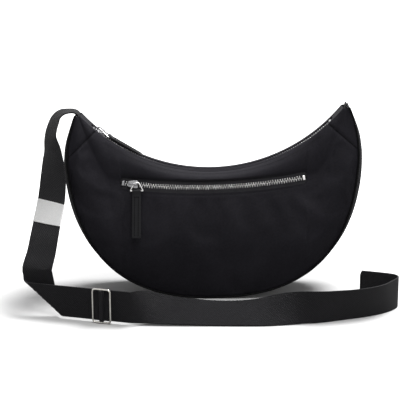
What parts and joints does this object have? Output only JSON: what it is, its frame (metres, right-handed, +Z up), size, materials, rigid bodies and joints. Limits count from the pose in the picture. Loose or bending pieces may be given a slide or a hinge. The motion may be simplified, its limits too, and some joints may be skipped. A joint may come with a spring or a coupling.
{
  "type": "half-moon shoulder bag",
  "caption": "Crescent shoulder bag with a curved zipped mouth, a zipped front pocket and a loose webbing strap with a wire slider buckle.",
  "frame": {"origin": "centre of the flat face of the gusset that the bag stands on", "axes": "+X to the bag's right as seen from the front, -Y out of the front, +Z up"},
  "size_m": [0.4538, 0.1839, 0.2395],
  "materials": {
    "outer_cloth": "black nylon with a faint sheen",
    "gusset_cloth": "black nylon",
    "piping_cloth": "black bound piping",
    "lining_cloth": "dark woven lining",
    "zip_tape": "black woven tape",
    "zip_metal": "polished nickel",
    "tab_leather": "black matt leather",
    "webbing": "black ribbed webbing",
    "band_cloth": "plain white band",
    "buckle_metal": "light nickel wire"
  },
  "bodies": {
    "bag": {"front_panel": "outer_cloth", "front_horn_left": "outer_cloth", "front_horn_right": "outer_cloth", "back_panel": "outer_cloth", "back_horn_left": "outer_cloth", "back_horn_right": "outer_cloth", "gusset": "gusset_cloth", "front_piping": "piping_cloth", "back_piping": "piping_cloth", "lining": "lining_cloth", "front_pocket_bag": "lining_cloth", "top_facing_front": "outer_cloth", "top_facing_back": "outer_cloth", "zip_end_tab_left": "outer_cloth", "zip_end_tab_right": "outer_cloth", "top_tape_front": "zip_tape", "top_tape_back": "zip_tape", "top_teeth_front": "zip_metal", "top_teeth_back": "zip_metal", "top_zip_stops": "zip_metal", "front_tape_upper": "zip_tape", "front_tape_lower": "zip_tape", "front_teeth_upper": "zip_metal", "front_teeth_lower": "zip_metal", "front_zip_stops": "zip_metal", "strap": "webbing", "strap_band": "band_cloth", "strap_hem": "webbing", "strap_stub": "webbing"},
    "top_slider_body": {"top_slider": "zip_metal"},
    "top_ring_body": {"top_pull_ring": "zip_metal"},
    "top_tab_body": {"top_pull_tab": "tab_leather"},
    "front_slider_body": {"front_slider": "zip_metal"},
    "front_ring_body": {"front_pull_ring": "zip_metal"},
    "front_tab_body": {"front_pull_tab": "tab_leather"},
    "buckle_body": {"buckle_frame": "buckle_metal", "buckle_webbing": "webbing"}
  },
  "joints": [
    {"name": "top_zip", "type": "hinge", "parent": "bag", "child": "top_slider_body", "pos_m": [-0.00155, 0, 0.36714], "axis": [0, -1, 0], "range_deg": [0, 81.84]},
    {"name": "top_ring_swing", "type": "hinge", "parent": "top_slider_body", "child": "top_ring_body", "pos_m": [-0.13092, 0, 0.2041], "axis": [0, -1, 0], "range_deg": [0, 125]},
    {"name": "top_tab_swing", "type": "hinge", "parent": "top_ring_body", "child": "top_tab_body", "pos_m": [-0.12316, 0, 0.19779], "axis": [0, -1, 0], "range_deg": [0, 45]},
    {"name": "front_zip", "type": "hinge", "parent": "bag", "child": "front_slider_body", "pos_m": [-0.0165, 0.22017, 0.84283], "axis": [-0.0104, -0.9432, 0.332], "range_deg": [-0.31, 15.49]},
    {"name": "front_ring_swivel", "type": "hinge", "parent": "front_slider_body", "child": "front_ring_body", "pos_m": [-0.08868, -0.0284, 0.14355], "axis": [-0.0104, -0.9432, 0.332], "range_deg": [-30, 88]},
    {"name": "front_tab_swing", "type": "hinge", "parent": "front_ring_body", "child": "front_tab_body", "pos_m": [-0.0885, -0.03108, 0.13595], "axis": [-0.9999, 0.0104, -0.0018], "range_deg": [0, 110]},
    {"name": "buckle_slide", "type": "slide", "parent": "bag", "child": "buckle_body", "axis": [0.9613, -0.2756, 0], "range_m": [-0.012, 0.018]}
  ]
}
